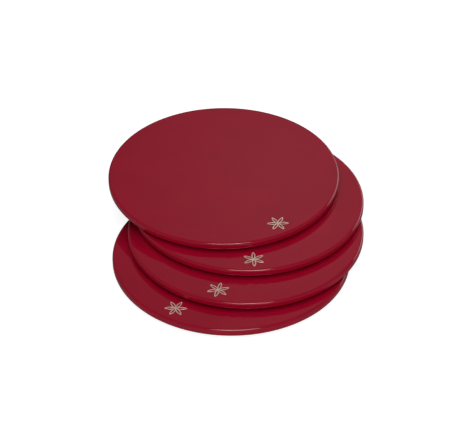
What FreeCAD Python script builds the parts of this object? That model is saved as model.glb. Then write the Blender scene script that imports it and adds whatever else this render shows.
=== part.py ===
"""A fanned stack of four round lacquered coasters.

Each coaster is a fibreboard core inside a closed coat of gloss lacquer, with a gold line-work
rosette let into the coat near the rim, and a felt pad glued to the underside, inset from the edge.
The coasters lie loose on each other, each one shifted and turned from the one below.

Row frame: millimetres, +Z up, -Y to the front. The origin is the centre of the bottom coaster's
underside, where its felt meets the table.
"""

import FreeCAD, Part
import math
import os

# Driving dimensions, in millimetres
COASTER_DIAMETER = 100.0
BODY_THICKNESS = 3.35  # core and lacquer together
EDGE_RADIUS = 1.0  # rounding of the lacquered rim, above and below
LACQUER_THICKNESS = 0.25
FELT_THICKNESS = 0.6
GLUE_THICKNESS = 0.1
PAD_INSET = 2.0  # from the coaster's rim to the felt's edge
GLUE_INSET = 0.3  # from the felt's edge to the glue's edge

# The rosette: six petals drawn with a compass
PETAL_COUNT = 6
PETAL_LENGTH = 4.5  # also the radius of the arcs that draw the petal
LINE_WIDTH = 0.42
MARK_DEPTH = 0.1
MARK_CENTRE_RADIUS = 42.6  # from the coaster's centre to the rosette's centre

# How each coaster lies in the stack, from the bottom up: (x, y of its centre, angle of its mark)
STACK = [
    (0.0, 0.0, -121.8),
    (6.1, 11.8, -105.5),
    (6.8, 28.0, -86.6),
    (-3.3, 40.4, -57.6),
]

COASTER_RADIUS = COASTER_DIAMETER / 2
PAD_RADIUS = COASTER_RADIUS - PAD_INSET
BODY_BOTTOM = FELT_THICKNESS + GLUE_THICKNESS
BODY_TOP = BODY_BOTTOM + BODY_THICKNESS
UP = FreeCAD.Vector(0, 0, 1)


def point(x, y, z=0.0):
    return FreeCAD.Vector(x, y, z)


def rounded_disc(radius, bottom, top, edge_radius):
    """A disc on the Z axis whose upper and lower rims are rounded."""
    disc = Part.makeCylinder(radius, top - bottom, point(0, 0, bottom))
    rims = [edge for edge in disc.Edges if len(edge.Vertexes) == 1]
    return disc.makeFillet(edge_radius, rims)


def lens(half_gap, radius, bottom, height):
    """The overlap of two upright cylinders whose axes are half_gap either side of the X axis."""
    overlap_centre = PETAL_LENGTH / 2
    left = Part.makeCylinder(radius, height, point(overlap_centre, half_gap, bottom))
    right = Part.makeCylinder(radius, height, point(overlap_centre, -half_gap, bottom))
    return left.common(right)


def petal(bottom, height):
    """The outline of one petal, from the rosette's centre outwards along +X."""
    half_gap = PETAL_LENGTH * math.sin(math.radians(360 / PETAL_COUNT))
    outside = lens(half_gap, PETAL_LENGTH + LINE_WIDTH / 2, bottom, height)
    inside = lens(half_gap, PETAL_LENGTH - LINE_WIDTH / 2, bottom, height)
    return outside.cut(inside)


def gold_mark():
    """The rosette, its face flush with the lacquer."""
    first = petal(BODY_TOP - MARK_DEPTH, MARK_DEPTH)
    petals = []
    for number in range(PETAL_COUNT):
        turned = first.copy()
        turned.rotate(point(0, 0), UP, number * 360 / PETAL_COUNT)
        petals.append(turned)
    mark = petals[0].fuse(petals[1:]).removeSplitter()
    mark.translate(point(MARK_CENTRE_RADIUS, 0))
    return mark


def wood_core():
    return rounded_disc(
        COASTER_RADIUS - LACQUER_THICKNESS,
        BODY_BOTTOM + LACQUER_THICKNESS,
        BODY_TOP - LACQUER_THICKNESS,
        EDGE_RADIUS - LACQUER_THICKNESS,
    )


def lacquer_shell(core, mark):
    """The closed coat round the core, with the engraved lines that hold the gold."""
    body = rounded_disc(COASTER_RADIUS, BODY_BOTTOM, BODY_TOP, EDGE_RADIUS)
    return body.cut(core).cut(mark)


def glue_film():
    return Part.makeCylinder(
        PAD_RADIUS - GLUE_INSET, GLUE_THICKNESS, point(0, 0, FELT_THICKNESS)
    )


def felt_pad():
    return Part.makeCylinder(PAD_RADIUS, FELT_THICKNESS)


def coaster_pieces():
    """The pieces of one coaster standing on the origin, with its mark on +X."""
    core = wood_core()
    mark = gold_mark()
    return {
        "wood_core": core,
        "lacquer_shell": lacquer_shell(core, mark),
        "gold_mark": mark,
        "glue_film": glue_film(),
        "felt_pad": felt_pad(),
    }


def write_piece(shape, name):
    if not shape.isValid() or not shape.Solids:
        raise ValueError(name + " is not a valid solid")
    shape.exportStep(os.path.join("parts", name + ".step"))
    print(name, len(shape.Solids), "solid", round(shape.Volume, 2), "mm3")


def main():
    os.makedirs("parts", exist_ok=True)
    pieces = coaster_pieces()
    pitch = BODY_TOP
    for level, (x, y, mark_angle) in enumerate(STACK):
        for piece_name, shape in pieces.items():
            placed = shape.copy()
            placed.rotate(point(0, 0), UP, mark_angle)
            placed.translate(point(x, y, level * pitch))
            write_piece(placed, f"coaster_{level + 1}_{piece_name}")


main()
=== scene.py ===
"""A fanned stack of four round gloss-lacquered coasters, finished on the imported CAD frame.

Each coaster rides on its own body. Its lacquer, rosette and felt are modelled here and replace
the CAD nodes of the same place and size; the board and the glue inside keep their CAD meshes.
All lengths are in metres, in the frame of the CAD.
"""

import math

import bpy
from mathutils import Matrix, Vector, noise


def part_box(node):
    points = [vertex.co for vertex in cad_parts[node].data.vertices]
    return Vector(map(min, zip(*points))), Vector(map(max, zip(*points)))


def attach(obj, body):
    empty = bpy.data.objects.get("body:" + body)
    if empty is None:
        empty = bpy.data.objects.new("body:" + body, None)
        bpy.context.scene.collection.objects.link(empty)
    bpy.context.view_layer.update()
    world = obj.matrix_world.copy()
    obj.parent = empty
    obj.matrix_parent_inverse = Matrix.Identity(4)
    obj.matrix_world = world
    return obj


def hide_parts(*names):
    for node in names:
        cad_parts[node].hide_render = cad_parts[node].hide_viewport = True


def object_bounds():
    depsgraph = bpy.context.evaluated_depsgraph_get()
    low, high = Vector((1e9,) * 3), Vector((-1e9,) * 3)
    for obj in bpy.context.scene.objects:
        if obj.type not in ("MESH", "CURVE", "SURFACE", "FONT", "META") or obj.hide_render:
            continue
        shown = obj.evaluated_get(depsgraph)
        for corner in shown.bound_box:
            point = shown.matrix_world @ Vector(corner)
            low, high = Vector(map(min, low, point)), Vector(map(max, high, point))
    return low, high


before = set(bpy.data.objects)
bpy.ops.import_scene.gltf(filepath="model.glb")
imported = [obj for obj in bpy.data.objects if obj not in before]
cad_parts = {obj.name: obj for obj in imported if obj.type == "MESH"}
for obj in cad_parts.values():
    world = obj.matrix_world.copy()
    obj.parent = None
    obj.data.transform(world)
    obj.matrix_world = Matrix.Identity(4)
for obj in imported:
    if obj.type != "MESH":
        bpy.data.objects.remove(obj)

CAD_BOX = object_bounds()
MM = 0.001

# The coaster, as in the CAD
RADIUS = 50.0 * MM
BODY_THICKNESS = 3.35 * MM
EDGE_RADIUS = 1.0 * MM
COAT = 0.25 * MM  # thickness of the lacquer
PAD_RADIUS = 48.0 * MM
PETALS = 6
PETAL_LENGTH = 4.5 * MM
LINE_WIDTH = 0.42 * MM

COASTERS = (1, 2, 3, 4)  # from the bottom up

# The studio
FLOOR_REACH = 4.0
CAMERA_LENS = 149.65  # in millimetres, on a sensor 36 mm wide
CAMERA_PITCH = 37.75  # degrees down
CAMERA_DISTANCE = 835.2 * MM
CAMERA_AIM = Vector((0.24, -4.66, 0.19)) * MM  # from the middle of the stack's box


# ---------------------------------------------------------------- meshes

def new_object(name, vertices, faces, smooth=True):
    mesh = bpy.data.meshes.new(name)
    mesh.from_pydata(vertices, [], faces)
    mesh.validate()
    mesh.polygons.foreach_set("use_smooth", [smooth] * len(mesh.polygons))
    mesh.update()
    obj = bpy.data.objects.new(name, mesh)
    bpy.context.scene.collection.objects.link(obj)
    return obj


def lathe(profile, segments, centre, flip=False):
    """Turns (radius, z) points about the upright line through centre.

    The first and the last point are on the line. Gives vertices and faces.
    """
    vertices = [(centre.x, centre.y, profile[0][1])]
    faces = []
    for radius, z in profile[1:-1]:
        for step in range(segments):
            angle = 2 * math.pi * step / segments
            vertices.append(
                (centre.x + radius * math.cos(angle), centre.y + radius * math.sin(angle), z)
            )
    vertices.append((centre.x, centre.y, profile[-1][1]))
    last = len(vertices) - 1
    rings = len(profile) - 2
    for step in range(segments):
        after = (step + 1) % segments
        faces.append((0, 1 + after, 1 + step))
        for ring in range(rings - 1):
            low, high = 1 + ring * segments, 1 + (ring + 1) * segments
            faces.append((low + step, low + after, high + after, high + step))
        top = 1 + (rings - 1) * segments
        faces.append((last, top + step, top + after))
    if flip:
        faces = [tuple(reversed(face)) for face in faces]
    return vertices, faces


def rounded_profile(radius, bottom, top, edge, arc_steps, inner_rings):
    """Half the outline of a disc with rounded rims, from the bottom's centre to the top's."""
    flat = radius - edge
    support = 0.06 * MM  # a ring just inside each rounding keeps the flat face flat
    inner = [flat * ring / inner_rings for ring in range(1, inner_rings)]
    profile = [(0.0, bottom)]
    profile += [(r, bottom) for r in inner] + [(flat - support, bottom)]
    for step in range(arc_steps + 1):
        angle = math.pi / 2 * step / arc_steps
        profile.append((flat + edge * math.sin(angle), bottom + edge * (1 - math.cos(angle))))
    profile.append((radius, bottom + edge + support))
    profile.append((radius, top - edge - support))
    for step in range(arc_steps + 1):
        angle = math.pi / 2 * step / arc_steps
        profile.append((flat + edge * math.cos(angle), top - edge * (1 - math.sin(angle))))
    profile += [(flat - support, top)] + [(r, top) for r in reversed(inner)]
    profile.append((0.0, top))
    return profile


def lacquer_coat(number, centre, bottom):
    """The closed coat: its outer face, and its inner face against the board."""
    top = bottom + BODY_THICKNESS
    outer_profile = rounded_profile(
        RADIUS, bottom, top, EDGE_RADIUS, arc_steps=14, inner_rings=6
    )
    outer, outer_faces = lathe(outer_profile, segments=384, centre=centre)
    inner_profile = rounded_profile(
        RADIUS - COAT, bottom + COAT, top - COAT, EDGE_RADIUS - COAT, arc_steps=6, inner_rings=3
    )
    inner, inner_faces = lathe(inner_profile, segments=128, centre=centre, flip=True)
    shift = len(outer)
    faces = outer_faces + [tuple(v + shift for v in face) for face in inner_faces]
    coat = new_object(f"coaster_{number}_lacquer_coat", outer + inner, faces)
    orange_peel(coat, centre)
    return coat


def orange_peel(coat, centre):
    """Moves the rim's points by a few micrometres, as a sprayed coat levels unevenly."""
    wave = 9 * MM
    swell = 0.006 * MM
    rim_start = RADIUS - EDGE_RADIUS * 0.9
    for vertex in coat.data.vertices:
        out = Vector((vertex.co.x - centre.x, vertex.co.y - centre.y, 0))
        if out.length < rim_start:
            continue
        out.normalize()
        vertex.co += out * swell * (noise.noise(vertex.co / wave) - 0.5)


def petal_lines():
    """The centre lines of the petals' arcs, about the rosette's own centre."""
    steps = 14
    reach = math.radians(360 / PETALS) / 2
    lines = []
    for petal in range(PETALS):
        turn = Matrix.Rotation(math.radians(petal * 360 / PETALS), 2)
        for side in (1, -1):
            arc_centre = Vector(
                (PETAL_LENGTH / 2, -side * PETAL_LENGTH * math.cos(reach))
            )
            line = []
            for step in range(steps + 1):
                angle = math.pi / 2 + reach * (1 - 2 * step / steps)
                offset = Vector((math.cos(angle), side * math.sin(angle))) * PETAL_LENGTH
                line.append(turn @ (arc_centre + offset))
            lines.append(line)
    return lines


def gold_rosette(number, centre, angle, top):
    """The petals as gold lines, let into the lacquer and crowned a hair above it."""
    crown = 0.1 * MM
    depth = 0.1 * MM
    across = 8  # facets over a line's crown
    turn = Matrix.Rotation(angle, 2)
    vertices, faces = [], []
    for line in petal_lines():
        points = [turn @ point for point in line]
        start = len(vertices)
        for index, point in enumerate(points):
            before = points[max(index - 1, 0)]
            after = points[min(index + 1, len(points) - 1)]
            along = (after - before).normalized()
            side = Vector((-along.y, along.x))
            for step in range(across + 1):
                share = 2 * step / across - 1
                place = centre.xy + point + side * share * LINE_WIDTH / 2
                height = top + crown * math.sqrt(max(0.0, 1 - share * share))
                vertices.append((place.x, place.y, height))
            for share in (1, -1):
                place = centre.xy + point + side * share * LINE_WIDTH / 2
                vertices.append((place.x, place.y, top - depth))
        ring = across + 3
        for index in range(len(points) - 1):
            low, high = start + index * ring, start + (index + 1) * ring
            for step in range(ring):
                after = (step + 1) % ring
                faces.append((low + after, low + step, high + step, high + after))
        faces.append(tuple(start + step for step in range(ring)))
        end = start + (len(points) - 1) * ring
        faces.append(tuple(end + step for step in reversed(range(ring))))
    return new_object(f"coaster_{number}_gold_rosette", vertices, faces)


def felt_pad(number, centre, bottom, thickness):
    """A die-cut felt disc: a slightly uneven cut edge and a surface of matted fibre."""
    rings, segments = 40, 256
    middle_ring = 0.02  # the first ring is tiny, and a flat face closes it
    fray_length, fray_depth = 1.1 * MM, 0.12 * MM  # along the cut edge, and outwards
    pit_length, pit_depth = 0.9 * MM, 0.05 * MM  # on the under face
    glued_z, glued_edge_z = bottom + thickness - 0.01 * MM, bottom + thickness - 0.05 * MM
    under_edge_z = bottom + 0.06 * MM
    vertices, faces = [], []
    for face_side in (0, 1):  # the under face, then the glued face
        for ring in range(rings + 1):
            radius = PAD_RADIUS * max(ring, middle_ring) / rings
            at_edge = ring == rings
            for step in range(segments):
                angle = 2 * math.pi * step / segments
                x, y = math.cos(angle), math.sin(angle)
                # Each pad and each face takes its own layer of the noise
                spot = Vector((x * radius, y * radius, number * 0.3 + face_side * 0.1))
                fray = noise.noise(spot / fray_length) * fray_depth if at_edge else 0.0
                if face_side == 1:
                    z = glued_edge_z if at_edge else glued_z
                elif at_edge:
                    z = under_edge_z
                else:
                    z = bottom + abs(noise.noise(spot / pit_length)) * pit_depth
                vertices.append(
                    (centre.x + x * (radius + fray), centre.y + y * (radius + fray), z)
                )
    layer = (rings + 1) * segments
    for step in range(segments):
        after = (step + 1) % segments
        for ring in range(rings):
            a, b = ring * segments, (ring + 1) * segments
            faces.append((a + step, a + after, b + after, b + step))
            faces.append(
                (layer + a + after, layer + a + step, layer + b + step, layer + b + after)
            )
        rim = rings * segments
        faces.append((rim + step, rim + after, layer + rim + after, layer + rim + step))
    faces.append(tuple(reversed(range(segments))))
    faces.append(tuple(layer + step for step in range(segments)))
    return new_object(f"coaster_{number}_felt", vertices, faces)


# ---------------------------------------------------------------- materials

class Nodes:
    """A material under construction: nodes by type, links by socket name."""

    def __init__(self, name):
        self.material = bpy.data.materials.new(name)
        self.material.use_nodes = True
        self.tree = self.material.node_tree
        self.shader = self.tree.nodes["Principled BSDF"]

    def add(self, kind, **values):
        node = self.tree.nodes.new("ShaderNode" + kind)
        for key, value in values.items():
            if hasattr(node, key):
                setattr(node, key, value)
            else:
                node.inputs[key.replace("_", " ")].default_value = value
        return node

    def join(self, source, output, target, socket):
        self.tree.links.new(source.outputs[output], target.inputs[socket])

    def set(self, **values):
        for key, value in values.items():
            self.shader.inputs[key.replace("_", " ")].default_value = value

    def pattern(self, scale, detail=3.0, roughness=0.5, stretch=(1, 1, 1)):
        """A noise in metres: scale is the number of its features in one metre."""
        place = self.add("TexCoord")
        mapping = self.add("Mapping")
        mapping.inputs["Scale"].default_value = stretch
        field = self.add("TexNoise", Scale=scale, Detail=detail, Roughness=roughness)
        self.join(place, "Object", mapping, "Vector")
        self.join(mapping, "Vector", field, "Vector")
        return field

    def ramp(self, field, stops, target, socket):
        """Colours or greys at positions along a noise, into a socket."""
        ramp = self.add("ValToRGB")
        elements = ramp.color_ramp.elements
        while len(elements) < len(stops):
            elements.new(0.5)
        for element, (position, colour) in zip(elements, stops):
            element.position = position
            element.color = (*colour, 1)
        self.join(field, "Fac", ramp, "Fac")
        self.join(ramp, "Color", target, socket)

    def bump(self, field, distance, strength, under=None):
        node = self.add("Bump", Strength=strength, Distance=distance)
        self.join(field, "Fac", node, "Height")
        if under is not None:
            self.join(under, "Normal", node, "Normal")
        return node


def grey(value):
    return (value, value, value)


def lacquer_material():
    """Deep red pigment under a polished clear coat."""
    m = Nodes("red_lacquer")
    m.set(Metallic=0.0, IOR=1.45)
    m.set(Coat_Weight=1.0, Coat_Roughness=0.015, Coat_IOR=1.85, Specular_IOR_Level=0.0)
    depth = m.pattern(60, detail=2.0)
    m.ramp(
        depth,
        [(0.3, (0.42, 0.0016, 0.0245)), (0.7, (0.455, 0.002, 0.0275))],
        m.shader,
        "Base Color",
    )
    smear = m.pattern(35, detail=4.0, stretch=(1, 3, 1))
    m.ramp(smear, [(0.35, grey(0.06)), (0.75, grey(0.11))], m.shader, "Roughness")
    peel = m.bump(m.pattern(330, detail=1.5), 0.004 * MM, 0.6)
    m.join(peel, "Normal", m.shader, "Coat Normal")
    m.join(peel, "Normal", m.shader, "Normal")
    return m.material


def gold_material():
    """Gold-coloured print, duller than metal leaf."""
    m = Nodes("gold_line")
    m.set(Metallic=0.3)
    leaf = m.pattern(2400)
    m.ramp(
        leaf, [(0.3, (1.0, 0.7, 0.58)), (0.7, (1.0, 0.84, 0.74))], m.shader, "Base Color"
    )
    m.ramp(leaf, [(0.3, grey(0.24)), (0.7, grey(0.36))], m.shader, "Roughness")
    grain = m.bump(m.pattern(9000, detail=2.0), 0.004 * MM, 0.5)
    m.join(grain, "Normal", m.shader, "Normal")
    return m.material


def felt_material():
    """Near-black matted fibre with a soft nap."""
    m = Nodes("felt")
    m.set(Roughness=0.95, Sheen_Weight=0.35, Sheen_Roughness=0.45, Specular_IOR_Level=0.2)
    fibre = m.pattern(5200, detail=4.0, roughness=0.7, stretch=(1, 2.6, 1))
    m.ramp(
        fibre,
        [(0.3, grey(0.004)), (0.6, (0.013, 0.012, 0.013)), (0.8, (0.05, 0.047, 0.048))],
        m.shader,
        "Base Color",
    )
    nap = m.bump(m.pattern(1500, detail=5.0, roughness=0.75), 0.12 * MM, 0.9)
    tangle = m.bump(fibre, 0.06 * MM, 0.8, under=nap)
    m.join(tangle, "Normal", m.shader, "Normal")
    return m.material


def board_material():
    """Pressed fibreboard, inside the lacquer."""
    m = Nodes("wood_core")
    m.set(Roughness=0.8, Specular_IOR_Level=0.3)
    fibre = m.pattern(1800, detail=6.0, roughness=0.7, stretch=(1, 1, 4))
    m.ramp(
        fibre,
        [(0.3, (0.26, 0.15, 0.08)), (0.7, (0.52, 0.36, 0.21))],
        m.shader,
        "Base Color",
    )
    m.join(m.bump(fibre, 0.05 * MM, 0.5), "Normal", m.shader, "Normal")
    return m.material


def glue_material():
    """A dry film of pale glue between the lacquer and the felt."""
    m = Nodes("glue")
    m.set(Roughness=0.4)
    film = m.pattern(900)
    m.ramp(
        film, [(0.35, (0.62, 0.58, 0.47)), (0.7, (0.8, 0.77, 0.67))], m.shader, "Base Color"
    )
    m.join(m.bump(film, 0.02 * MM, 0.5), "Normal", m.shader, "Normal")
    return m.material


def give(obj, material):
    obj.data.materials.clear()
    obj.data.materials.append(material)


# ---------------------------------------------------------------- the coasters

def finish_coaster(number, materials):
    """Replaces a coaster's lacquer, mark and felt, and gives the hidden parts their materials."""
    node = f"coaster_{number}_"
    body = f"coaster_{number}"
    low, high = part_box(node + "lacquer_shell")
    centre = (low + high) / 2
    mark_low, mark_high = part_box(node + "gold_mark")
    mark_centre = (mark_low + mark_high) / 2
    mark_angle = math.atan2(mark_centre.y - centre.y, mark_centre.x - centre.x)
    pad_low, pad_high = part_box(node + "felt_pad")

    coat = lacquer_coat(number, centre, low.z)
    rosette = gold_rosette(number, mark_centre, mark_angle, high.z)
    felt = felt_pad(number, centre, pad_low.z, pad_high.z - pad_low.z)
    for piece, slot, replaced in (
        (coat, "red_lacquer", "lacquer_shell"),
        (rosette, "gold_line", "gold_mark"),
        (felt, "felt", "felt_pad"),
    ):
        give(piece, materials[slot])
        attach(piece, body)
        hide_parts(node + replaced)
    for part, slot in (("wood_core", "wood_core"), ("glue_film", "glue")):
        give(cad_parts[node + part], materials[slot])
    return coat, felt


MATERIALS = {
    "red_lacquer": lacquer_material(),
    "gold_line": gold_material(),
    "felt": felt_material(),
    "wood_core": board_material(),
    "glue": glue_material(),
}
for number in COASTERS:
    coat, felt = finish_coaster(number, MATERIALS)


# ---------------------------------------------------------------- the studio

def direction(azimuth, elevation):
    """A unit vector; azimuth 0 is the camera's side, -Y, and 90 is +X."""
    a, e = math.radians(azimuth), math.radians(elevation)
    return Vector((math.sin(a) * math.cos(e), -math.cos(a) * math.cos(e), math.sin(e)))


def softbox(name, aim, azimuth, elevation, distance, size, radiance, mirrored=True):
    """An oval lamp that faces the aim. One that isn't mirrored lights the lacquer evenly only."""
    width, height = size
    light = bpy.data.lights.new(name, "AREA")
    light.shape = "ELLIPSE"
    light.size, light.size_y = width, height
    light.energy = radiance * math.pi * (math.pi / 4 * width * height)
    obj = bpy.data.objects.new(name, light)
    bpy.context.scene.collection.objects.link(obj)
    obj.location = aim + direction(azimuth, elevation) * distance
    obj.rotation_euler = direction(azimuth, elevation).to_track_quat("Z", "Y").to_euler()
    obj.visible_camera = False
    obj.visible_glossy = mirrored


def studio_world():
    """A pale room: brightest below, dim overhead, with a soft patch behind the stack."""
    levels = [(0.0, 0.13), (0.49, 0.13), (0.54, 0.07), (0.75, 0.075), (1.0, 0.04)]  # nadir to zenith
    patch_place = direction(178.0, 36.8)
    patch_spread = math.radians(3.3)
    patch_level = 0.12

    world = bpy.data.worlds.new("studio")
    bpy.context.scene.world = world
    world.use_nodes = True
    tree = world.node_tree
    background = tree.nodes["Background"]
    place = tree.nodes.new("ShaderNodeTexCoord")
    split = tree.nodes.new("ShaderNodeSeparateXYZ")

    def calculate(operation, source, *values):
        node = tree.nodes.new("ShaderNodeMath")
        node.operation = operation
        tree.links.new(source, node.inputs[0])
        for socket, value in zip(node.inputs[1:], values):
            socket.default_value = value
        return node.outputs["Value"]

    tree.links.new(place.outputs["Generated"], split.inputs["Vector"])
    height = calculate("MULTIPLY_ADD", split.outputs["Z"], 0.5, 0.5)
    ramp = tree.nodes.new("ShaderNodeValToRGB")
    elements = ramp.color_ramp.elements
    while len(elements) < len(levels):
        elements.new(0.5)
    for element, (position, value) in zip(elements, levels):
        element.position = position
        element.color = (*grey(value), 1)
    tree.links.new(height, ramp.inputs["Fac"])

    toward = tree.nodes.new("ShaderNodeVectorMath")
    toward.operation = "DOT_PRODUCT"
    toward.inputs[1].default_value = patch_place
    tree.links.new(place.outputs["Generated"], toward.inputs[0])
    patch = calculate("POWER", toward.outputs["Value"], 1 / patch_spread**2)
    glow = calculate("MULTIPLY", patch, patch_level)
    total = calculate("ADD", ramp.outputs["Color"])
    tree.links.new(glow, total.node.inputs[1])
    tree.links.new(total, background.inputs["Color"])
    background.inputs["Strength"].default_value = 1.0


def lit_floor(opening):
    """The floor that bounces light onto the object. The camera doesn't see it.

    It is open under the lowest felt, so that an underside isn't black when seen alone.
    """
    steps = 64
    ring = [direction(360 * step / steps, 0) for step in range(steps)]
    vertices = [opening + way * reach for reach in (PAD_RADIUS, FLOOR_REACH) for way in ring]
    faces = []
    for step in range(steps):
        after = (step + 1) % steps
        faces.append((step, steps + step, steps + after, after))
    floor = new_object("floor", vertices, faces, smooth=False)
    m = Nodes("floor")
    m.set(Roughness=0.9, Specular_IOR_Level=0.0, Base_Color=(*grey(0.8), 1))
    give(floor, m.material)
    floor.location.z = -0.03 * MM
    floor.visible_camera = False
    floor.visible_glossy = False
    return floor


def pale_sweep():
    """What the camera sees: a white floor that curves up all round, clear from its outside."""
    side = FLOOR_REACH
    bend = 12
    rings = [(side * share, 0.0) for share in (0.05, 0.2, 0.5, 0.8)]
    for step in range(bend + 1):
        angle = math.pi / 2 * step / bend
        rings.append((side + side * math.sin(angle), side * (1 - math.cos(angle))))
    rings += [(2 * side, 2 * side), (side, 3 * side)]
    profile = [(0.0, 0.0)] + rings + [(0.0, 3 * side)]
    sweep = new_object("sweep", *lathe(profile, 64, Vector((0, 0, 0)), flip=True))

    m = Nodes("sweep")
    m.set(Roughness=0.9, Specular_IOR_Level=0.0, Base_Color=(*grey(0.42), 1))
    m.set(Emission_Strength=0.88, Emission_Color=(*grey(1.0), 1))
    side_seen = m.add("NewGeometry")
    clear = m.add("BsdfTransparent")
    choose = m.add("MixShader")
    m.join(side_seen, "Backfacing", choose, "Fac")
    m.tree.links.new(m.shader.outputs[0], choose.inputs[1])
    m.tree.links.new(clear.outputs[0], choose.inputs[2])
    m.tree.links.new(choose.outputs[0], m.tree.nodes["Material Output"].inputs["Surface"])
    give(sweep, m.material)

    sweep.visible_diffuse = False
    sweep.visible_glossy = False
    sweep.visible_transmission = False
    sweep.visible_shadow = False
    sweep.location.z = -0.01 * MM
    return sweep


def studio_camera(aim):
    camera = bpy.data.cameras.new("camera")
    camera.lens, camera.sensor_width = CAMERA_LENS, 36.0
    camera.clip_start, camera.clip_end = 0.05, 50
    obj = bpy.data.objects.new("camera", camera)
    bpy.context.scene.collection.objects.link(obj)
    obj.location = aim + direction(0, CAMERA_PITCH) * CAMERA_DISTANCE
    obj.rotation_euler = (math.radians(90 - CAMERA_PITCH), 0, 0)
    bpy.context.scene.camera = obj


box_centre = (CAD_BOX[0] + CAD_BOX[1]) / 2
pad_low, pad_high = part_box("coaster_1_felt_pad")
pad_centre = Vector((pad_low.x + pad_high.x, pad_low.y + pad_high.y, 0)) / 2
studio_camera(box_centre + CAMERA_AIM)
studio_world()
lit_floor(pad_centre)
pale_sweep()

# Name, aim, azimuth, elevation, distance, size and radiance
softbox("key_strip", box_centre, 4, 53.6, 1.2, (0.7, 0.075), 20.0)
softbox("soft_key", box_centre, 4, 102, 1.2, (1.7, 1.13), 1.3, mirrored=False)
softbox("front_fill", box_centre, 0, 6, 1.5, (1.8, 0.34), 3.0, mirrored=False)
softbox("right_card", box_centre, 138, 16, 1.5, (1.5, 0.85), 1.0)

settings = bpy.context.scene.view_settings
settings.view_transform = "Standard"
settings.look = "None"
